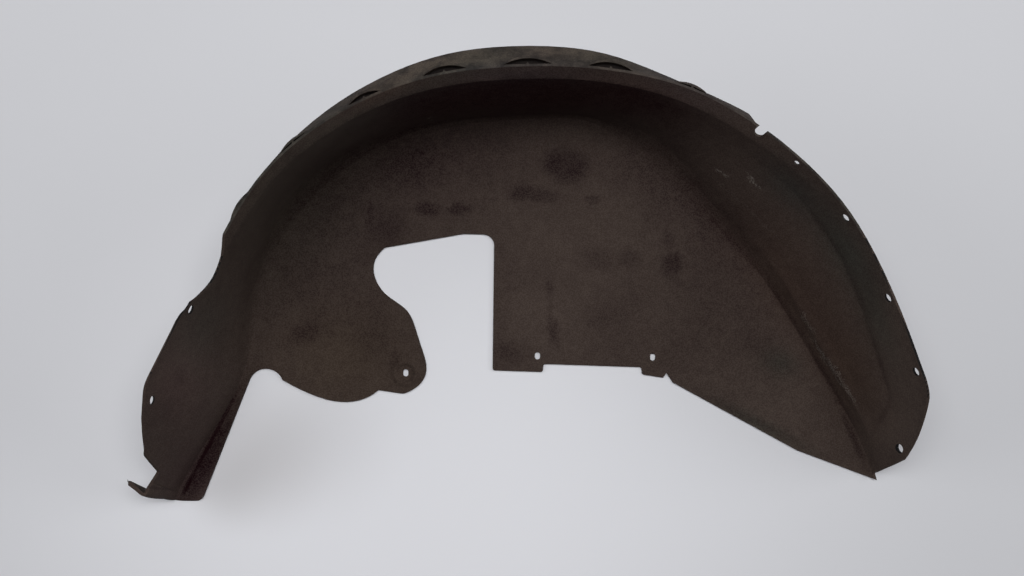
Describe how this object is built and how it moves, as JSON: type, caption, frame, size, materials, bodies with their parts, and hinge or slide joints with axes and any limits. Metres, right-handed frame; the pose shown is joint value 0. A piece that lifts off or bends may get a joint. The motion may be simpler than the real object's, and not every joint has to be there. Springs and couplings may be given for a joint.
{
  "type": "wheel arch liner",
  "caption": "Moulded plastic liner for a car's front wheel arch: flat inner panel with a strut cut-out and tab, and a curved outer wall with louvres, a leg and clip holes.",
  "frame": {"origin": "under the middle of the part's box, in the plane of the inner panel's flat back", "axes": "+X along the car, to the right in the picture; +Y up in the car, to the top of the picture; +Z out of the car, from the inner panel to the rim"},
  "size_m": [0.906, 0.5234, 0.175],
  "materials": {
    "black_plastic": "matte, dusty from use"
  },
  "bodies": {
    "root": {"wheel_arch_liner": "black_plastic"}
  },
  "joints": []
}
